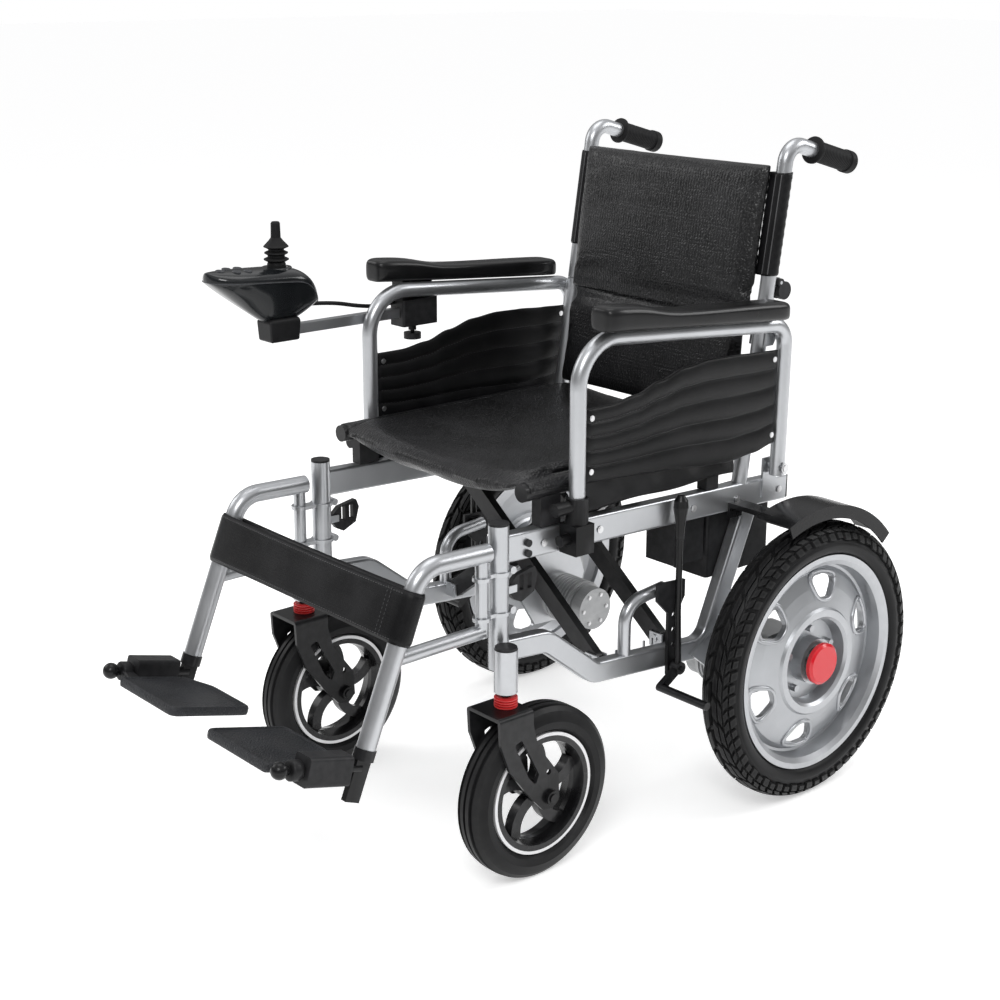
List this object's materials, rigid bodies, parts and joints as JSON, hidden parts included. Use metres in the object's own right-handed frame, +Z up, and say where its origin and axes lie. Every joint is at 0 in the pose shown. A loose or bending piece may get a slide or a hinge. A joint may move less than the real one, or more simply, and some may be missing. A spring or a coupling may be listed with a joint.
{
  "type": "folding power wheelchair",
  "caption": "Folding power wheelchair with a cross-braced tube frame, large drive wheels, swivelling casters, flip-back armrests, swing-away legrests and an armrest joystick.",
  "frame": {"origin": "middle of the ground area under the chair, at floor level", "axes": "+Z up, -Y the way the sitter faces, +X the sitter's left"},
  "size_m": [0.66, 1.0588, 0.935],
  "materials": {
    "bright_tube": "polished plated tube",
    "rim_silver": "bright silver",
    "motor_alloy": "cast, satin",
    "black_metal": "satin black powder coat",
    "black_plastic": "fine grain",
    "gloss_black": "semi-gloss moulded",
    "black_rubber": "matte",
    "tyre_rubber": "matte",
    "red_rubber": "satin",
    "red_plastic": "gloss",
    "black_vinyl": "soft moulded vinyl skin",
    "black_fabric": "coated nylon"
  },
  "bodies": {
    "side_right": {"right_side_frame": "bright_tube", "right_frame_fittings": "black_plastic", "right_motor": "motor_alloy", "right_fender": "black_plastic", "back_lower": "black_fabric"},
    "side_left": {"left_side_frame": "bright_tube", "left_frame_fittings": "black_plastic", "left_motor": "motor_alloy", "left_fender": "black_plastic", "battery_box": "black_plastic"},
    "cross_a": {"cross_brace_a": "black_metal"},
    "cross_b": {"cross_brace_b": "black_metal"},
    "seat": {"seat_pad": "black_fabric"},
    "left_caster_swivel_body": {"left_caster_fork": "black_metal", "left_caster_boot": "red_rubber"},
    "left_caster_wheel": {"left_caster_rim": "black_metal", "left_caster_tyre": "tyre_rubber"},
    "left_drive_wheel": {"left_rear_rim": "rim_silver", "left_rear_tyre": "tyre_rubber", "left_hub_cap": "red_plastic"},
    "left_armrest": {"left_armrest_tube": "bright_tube", "left_armrest_pad": "black_vinyl", "left_side_panel": "black_fabric"},
    "left_hanger": {"left_hanger_tube": "bright_tube", "calf_strap": "black_fabric"},
    "left_stem": {"left_footplate_stem": "black_metal"},
    "left_sleeve": {"left_footplate_sleeve": "black_plastic"},
    "left_plate": {"left_footplate": "black_plastic"},
    "left_release": {"left_release_lever": "black_plastic"},
    "left_back": {"left_back_post": "bright_tube", "left_push_grip": "black_rubber"},
    "left_latch": {"left_back_latch": "black_plastic"},
    "left_brake": {"left_brake_lever": "black_metal"},
    "right_caster_swivel_body": {"right_caster_fork": "black_metal", "right_caster_boot": "red_rubber"},
    "right_caster_wheel": {"right_caster_rim": "black_metal", "right_caster_tyre": "tyre_rubber"},
    "right_drive_wheel": {"right_rear_rim": "rim_silver", "right_rear_tyre": "tyre_rubber", "right_hub_cap": "red_plastic"},
    "right_armrest": {"right_armrest_tube": "bright_tube", "right_armrest_pad": "black_vinyl", "right_side_panel": "black_fabric", "rail_clamp": "black_plastic"},
    "right_hanger": {"right_hanger_tube": "bright_tube"},
    "right_stem": {"right_footplate_stem": "black_metal"},
    "right_sleeve": {"right_footplate_sleeve": "black_plastic"},
    "right_plate": {"right_footplate": "black_plastic"},
    "right_release": {"right_release_lever": "black_plastic"},
    "right_back": {"right_back_post": "bright_tube", "right_push_grip": "black_rubber", "back_upper": "black_fabric"},
    "right_latch": {"right_back_latch": "black_plastic"},
    "right_brake": {"right_brake_lever": "black_metal"},
    "controller": {"controller_case": "gloss_black", "controller_rail": "bright_tube", "controller_cable": "black_rubber"},
    "gimbal": {"joystick_gimbal": "black_plastic"},
    "stick": {"joystick": "black_rubber"},
    "clamp_screw": {"clamp_knob": "black_plastic"}
  },
  "joints": [
    {"name": "frame_fold", "type": "hinge", "parent": "side_right", "child": "cross_a", "pos_m": [-0.172, 0.0841, 0.245], "axis": [0, -1, 0], "range_deg": [0, 37], "deforming": ["seat_pad", "back_upper", "back_lower", "calf_strap"]},
    {"name": "brace_scissor", "type": "hinge", "parent": "cross_a", "child": "cross_b", "pos_m": [0, 0.0841, 0.37277], "axis": [0, -1, 0], "range_deg": [-74.5, 0]},
    {"name": "left_side_fold", "type": "hinge", "parent": "cross_b", "child": "side_left", "pos_m": [0.172, 0.0841, 0.245], "axis": [0, -1, 0], "range_deg": [0, 37.5]},
    {"name": "seat_level", "type": "hinge", "parent": "cross_a", "child": "seat", "pos_m": [0.1955, 0.0841, 0.518], "axis": [0, -1, 0], "range_deg": [-37.5, 0]},
    {"name": "left_caster_swivel", "type": "hinge", "parent": "side_left", "child": "left_caster_swivel_body", "pos_m": [0.226, -0.1874, 0.26], "axis": [0, 0, 1], "continuous": true},
    {"name": "left_caster_spin", "type": "hinge", "parent": "left_caster_swivel_body", "child": "left_caster_wheel", "pos_m": [0.226, -0.1384, 0.1194], "axis": [1, 0, 0], "continuous": true},
    {"name": "left_wheel_spin", "type": "hinge", "parent": "side_left", "child": "left_drive_wheel", "pos_m": [0.297, 0.3251, 0.2043], "axis": [1, 0, 0], "continuous": true},
    {"name": "left_armrest_flip", "type": "hinge", "parent": "side_left", "child": "left_armrest", "pos_m": [0.221, 0.3301, 0.474], "axis": [1, 0, 0], "range_deg": [-95, 0]},
    {"name": "left_legrest_swing", "type": "hinge", "parent": "side_left", "child": "left_hanger", "pos_m": [0.201, -0.2069, 0.4], "axis": [0, 0, 1], "range_deg": [0, 90]},
    {"name": "left_leg_length", "type": "slide", "parent": "left_hanger", "child": "left_stem", "axis": [0, -0.3797, -0.9251], "range_m": [0, 0.05]},
    {"name": "left_footplate_lift", "type": "hinge", "parent": "left_stem", "child": "left_sleeve", "pos_m": [0.201, -0.40925, 0.22365], "axis": [0, 0.9659, -0.2588], "range_deg": [0, 78.5]},
    {"name": "left_footplate_flip", "type": "hinge", "parent": "left_sleeve", "child": "left_plate", "pos_m": [0.201, -0.40925, 0.22365], "axis": [0, -0.9659, 0.2588], "range_deg": [-78, 0]},
    {"name": "left_release_press", "type": "hinge", "parent": "side_left", "child": "left_release", "pos_m": [0.195, -0.1519, 0.395], "axis": [1, 0, 0], "range_deg": [0, 20], "stiffness_Nm_per_rad": 0.6, "springref_deg": -17.19},
    {"name": "left_back_fold", "type": "hinge", "parent": "side_left", "child": "left_back", "pos_m": [0.194, 0.33812, 0.69], "axis": [-1, 0, 0], "range_deg": [0, 90]},
    {"name": "left_back_latch_lift", "type": "hinge", "parent": "left_back", "child": "left_latch", "pos_m": [0.194, 0.34228, 0.736], "axis": [1, 0, 0], "range_deg": [0, 30], "stiffness_Nm_per_rad": 0.4, "springref_deg": -17.19},
    {"name": "left_brake_pull", "type": "hinge", "parent": "side_left", "child": "left_brake", "pos_m": [0.221, 0.1371, 0.216], "axis": [1, 0, 0], "range_deg": [0, 25]},
    {"name": "right_caster_swivel", "type": "hinge", "parent": "side_right", "child": "right_caster_swivel_body", "pos_m": [-0.226, -0.1874, 0.26], "axis": [0, 0, 1], "continuous": true},
    {"name": "right_caster_spin", "type": "hinge", "parent": "right_caster_swivel_body", "child": "right_caster_wheel", "pos_m": [-0.226, -0.1384, 0.1194], "axis": [1, 0, 0], "continuous": true},
    {"name": "right_wheel_spin", "type": "hinge", "parent": "side_right", "child": "right_drive_wheel", "pos_m": [-0.297, 0.3251, 0.2043], "axis": [1, 0, 0], "continuous": true},
    {"name": "right_armrest_flip", "type": "hinge", "parent": "side_right", "child": "right_armrest", "pos_m": [-0.221, 0.3301, 0.474], "axis": [1, 0, 0], "range_deg": [-95, 0]},
    {"name": "right_legrest_swing", "type": "hinge", "parent": "side_right", "child": "right_hanger", "pos_m": [-0.201, -0.2069, 0.4], "axis": [0, 0, -1], "range_deg": [0, 90]},
    {"name": "right_leg_length", "type": "slide", "parent": "right_hanger", "child": "right_stem", "axis": [0, -0.3797, -0.9251], "range_m": [0, 0.05]},
    {"name": "right_footplate_lift", "type": "hinge", "parent": "right_stem", "child": "right_sleeve", "pos_m": [-0.201, -0.40925, 0.22365], "axis": [0, -0.9659, 0.2588], "range_deg": [0, 78.5]},
    {"name": "right_footplate_flip", "type": "hinge", "parent": "right_sleeve", "child": "right_plate", "pos_m": [-0.201, -0.40925, 0.22365], "axis": [0, 0.9659, -0.2588], "range_deg": [-78, 0]},
    {"name": "right_release_press", "type": "hinge", "parent": "side_right", "child": "right_release", "pos_m": [-0.195, -0.1519, 0.395], "axis": [1, 0, 0], "range_deg": [0, 20], "stiffness_Nm_per_rad": 0.6, "springref_deg": -17.19},
    {"name": "right_back_fold", "type": "hinge", "parent": "side_right", "child": "right_back", "pos_m": [-0.194, 0.33812, 0.69], "axis": [-1, 0, 0], "range_deg": [0, 90]},
    {"name": "right_back_latch_lift", "type": "hinge", "parent": "right_back", "child": "right_latch", "pos_m": [-0.194, 0.34228, 0.736], "axis": [1, 0, 0], "range_deg": [0, 30], "stiffness_Nm_per_rad": 0.4, "springref_deg": -17.19},
    {"name": "right_brake_pull", "type": "hinge", "parent": "side_right", "child": "right_brake", "pos_m": [-0.221, 0.1371, 0.216], "axis": [1, 0, 0], "range_deg": [0, 25]},
    {"name": "controller_slide", "type": "slide", "parent": "right_armrest", "child": "controller", "axis": [0, 1, 0], "range_m": [-0.055, 0.06], "deforming": ["controller_cable"]},
    {"name": "joystick_sideways", "type": "hinge", "parent": "controller", "child": "gimbal", "pos_m": [-0.241, -0.2069, 0.752], "axis": [0, 1, 0], "range_deg": [-18, 18], "stiffness_Nm_per_rad": 0.3},
    {"name": "joystick_forward", "type": "hinge", "parent": "gimbal", "child": "stick", "pos_m": [-0.241, -0.2069, 0.752], "axis": [1, 0, 0], "range_deg": [-18, 18], "stiffness_Nm_per_rad": 0.3},
    {"name": "clamp_screw_turn", "type": "hinge", "parent": "right_armrest", "child": "clamp_screw", "pos_m": [-0.241, 0.0311, 0.64], "axis": [0, 0, 1], "range_deg": [0, 360]}
  ],
  "couplings": [
    {"joint": "brace_scissor", "follows": "frame_fold", "ratio": -2},
    {"joint": "left_side_fold", "follows": "frame_fold", "ratio": 1},
    {"joint": "seat_level", "follows": "frame_fold", "ratio": -1},
    {"joint": "left_footplate_lift", "follows": "frame_fold", "ratio": 2.1081},
    {"joint": "right_footplate_lift", "follows": "frame_fold", "ratio": 2.1081},
    {"joint": "left_back_fold", "follows": "right_back_fold", "ratio": 1}
  ]
}
